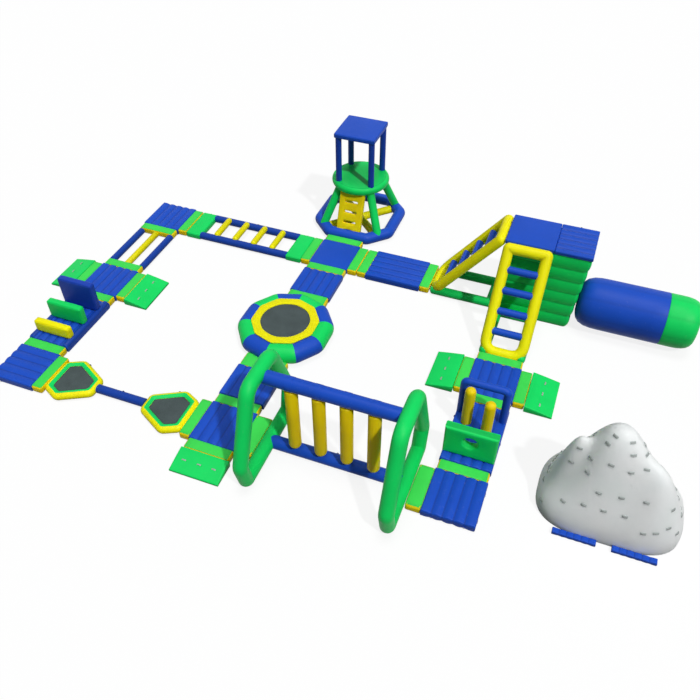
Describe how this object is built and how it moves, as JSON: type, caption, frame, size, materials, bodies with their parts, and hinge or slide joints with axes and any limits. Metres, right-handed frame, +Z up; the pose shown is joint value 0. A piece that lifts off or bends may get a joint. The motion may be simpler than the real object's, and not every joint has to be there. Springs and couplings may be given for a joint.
{
  "type": "inflatable aqua park",
  "caption": "Floating ring of inflatable platforms with bridges, trampolines, a swing, obstacles, a guard tower, a jump tower with an air bag, and a climbing iceberg.",
  "frame": {"origin": "middle of the flat underside of the centre back platform, on the water's surface", "axes": "+X along the park's long side, towards the air bag; +Y to the guard tower; +Z up"},
  "size_m": [28.945, 20.04, 5.34],
  "materials": {
    "blue_vinyl": "semi-gloss coated PVC tarpaulin, royal blue",
    "navy_vinyl": "semi-gloss coated PVC tarpaulin, navy",
    "green_vinyl": "semi-gloss coated PVC tarpaulin, bright green",
    "yellow_vinyl": "semi-gloss coated PVC tarpaulin, yellow",
    "white_vinyl": "semi-gloss coated PVC tarpaulin, white with a cool grey cast",
    "bed_mesh": "woven polyester trampoline mesh, dark grey"
  },
  "bodies": {
    "park": {"balance_beam": "blue_vinyl", "big_trampoline_ring": "green_vinyl", "big_trampoline_skirt": "yellow_vinyl", "bridge_tube_left": "blue_vinyl", "bridge_tube_middle": "yellow_vinyl", "bridge_tube_right": "blue_vinyl", "climb_ladder_front": "yellow_vinyl", "climb_ladder_left": "yellow_vinyl", "crawl_wall": "green_vinyl", "hurdle_high": "navy_vinyl", "hurdle_low": "yellow_vinyl", "hurdle_middle": "green_vinyl", "iceberg": "white_vinyl", "ladder_base_front": "green_vinyl", "ladder_base_left": "green_vinyl", "ladder_bridge": "blue_vinyl", "link_platform_back": "blue_vinyl", "link_platform_front": "blue_vinyl", "obstacle_arch": "blue_vinyl", "obstacle_base": "blue_vinyl", "obstacle_post_left": "yellow_vinyl", "obstacle_post_right": "yellow_vinyl", "platform_centre_back": "blue_vinyl", "platform_centre_front": "blue_vinyl", "platform_left_back": "blue_vinyl", "platform_left_front": "blue_vinyl", "platform_left_middle": "blue_vinyl", "platform_right_back": "blue_vinyl", "platform_right_front": "blue_vinyl", "platform_right_middle": "blue_vinyl", "runway_base": "blue_vinyl", "small_trampoline_left_frame": "yellow_vinyl", "small_trampoline_right_frame": "yellow_vinyl", "swing_foot_beam": "blue_vinyl", "swing_frame_left": "green_vinyl", "swing_frame_right": "green_vinyl", "swing_top_beam": "blue_vinyl", "tower_body": "green_vinyl", "tower_deck": "blue_vinyl", "tower_jump_mat": "blue_vinyl"},
    "guard_tower": {"guard_base_ring": "blue_vinyl", "guard_cross_brace": "yellow_vinyl", "guard_stand": "green_vinyl", "guard_ladder": "yellow_vinyl", "guard_canopy": "navy_vinyl"},
    "ramp_left_inner": {"ramp_left_inner": "green_vinyl"},
    "ramp_left_outer": {"ramp_left_outer": "green_vinyl"},
    "ramp_right_inner": {"ramp_right_inner": "green_vinyl"},
    "ramp_right_outer": {"ramp_right_outer": "green_vinyl"},
    "ramp_front": {"ramp_front": "green_vinyl"},
    "iceberg_mat_left": {"iceberg_mat_left": "blue_vinyl"},
    "iceberg_mat_right": {"iceberg_mat_right": "blue_vinyl"},
    "swing_bolster_1": {"swing_bolster_1": "yellow_vinyl"},
    "swing_bolster_2": {"swing_bolster_2": "yellow_vinyl"},
    "swing_bolster_3": {"swing_bolster_3": "yellow_vinyl"},
    "swing_bolster_4": {"swing_bolster_4": "yellow_vinyl"},
    "big_trampoline_bed": {"big_trampoline_bed": "bed_mesh"},
    "small_trampoline_left_bed": {"small_trampoline_left_bed": "bed_mesh"},
    "small_trampoline_right_bed": {"small_trampoline_right_bed": "bed_mesh"},
    "blob": {"blob": "blue_vinyl"}
  },
  "joints": [
    {"name": "ramp_left_inner_lacing", "type": "hinge", "parent": "park", "child": "ramp_left_inner", "pos_m": [-7.895, -5.67, 0.34], "axis": [0, -1, 0], "range_deg": [0, 60]},
    {"name": "ramp_left_outer_lacing", "type": "hinge", "parent": "park", "child": "ramp_left_outer", "pos_m": [-10.835, -5.67, 0.34], "axis": [0, 1, 0], "range_deg": [0, 60]},
    {"name": "ramp_right_inner_lacing", "type": "hinge", "parent": "park", "child": "ramp_right_inner", "pos_m": [7.81, -5.64, 0.34], "axis": [0, 1, 0], "range_deg": [0, 60]},
    {"name": "ramp_right_outer_lacing", "type": "hinge", "parent": "park", "child": "ramp_right_outer", "pos_m": [10.75, -5.64, 0.34], "axis": [0, -1, 0], "range_deg": [0, 60]},
    {"name": "ramp_front_lacing", "type": "hinge", "parent": "park", "child": "ramp_front", "pos_m": [0, -13.23, 0.34], "axis": [-1, 0, 0], "range_deg": [0, 60]},
    {"name": "iceberg_mat_left_lacing", "type": "hinge", "parent": "park", "child": "iceberg_mat_left", "pos_m": [13.52, -11.6351, 0.16], "axis": [-1, 0, 0], "range_deg": [0, 60]},
    {"name": "iceberg_mat_right_lacing", "type": "hinge", "parent": "park", "child": "iceberg_mat_right", "pos_m": [15.54, -11.6351, 0.16], "axis": [-1, 0, 0], "range_deg": [0, 60]},
    {"name": "bolster_1_sling", "type": "hinge", "parent": "park", "child": "swing_bolster_1", "pos_m": [3.145, -11.9, 4.02], "axis": [1, 0, 0], "range_deg": [-45, 45]},
    {"name": "bolster_2_sling", "type": "hinge", "parent": "park", "child": "swing_bolster_2", "pos_m": [4.175, -11.9, 4.02], "axis": [1, 0, 0], "range_deg": [-45, 45]},
    {"name": "bolster_3_sling", "type": "hinge", "parent": "park", "child": "swing_bolster_3", "pos_m": [5.205, -11.9, 4.02], "axis": [1, 0, 0], "range_deg": [-45, 45]},
    {"name": "bolster_4_sling", "type": "hinge", "parent": "park", "child": "swing_bolster_4", "pos_m": [6.235, -11.9, 4.02], "axis": [1, 0, 0], "range_deg": [-45, 45]},
    {"name": "big_bed_bounce", "type": "slide", "parent": "park", "child": "big_trampoline_bed", "axis": [0, 0, 1], "range_m": [-0.25, 0], "stiffness_N_per_m": 20000},
    {"name": "small_left_bed_bounce", "type": "slide", "parent": "park", "child": "small_trampoline_left_bed", "axis": [0, 0, 1], "range_m": [-0.15, 0], "stiffness_N_per_m": 12000},
    {"name": "small_right_bed_bounce", "type": "slide", "parent": "park", "child": "small_trampoline_right_bed", "axis": [0, 0, 1], "range_m": [-0.15, 0], "stiffness_N_per_m": 12000},
    {"name": "blob_tether", "type": "hinge", "parent": "park", "child": "blob", "pos_m": [11.7436, -0.25, 1.6188], "axis": [0, -1, 0], "range_deg": [0, 5]},
    {"name": "guard_tower_lacing", "type": "hinge", "parent": "park", "child": "guard_tower", "pos_m": [0, 1.47, 0.34], "axis": [1, 0, 0], "range_deg": [0, 10]}
  ]
}
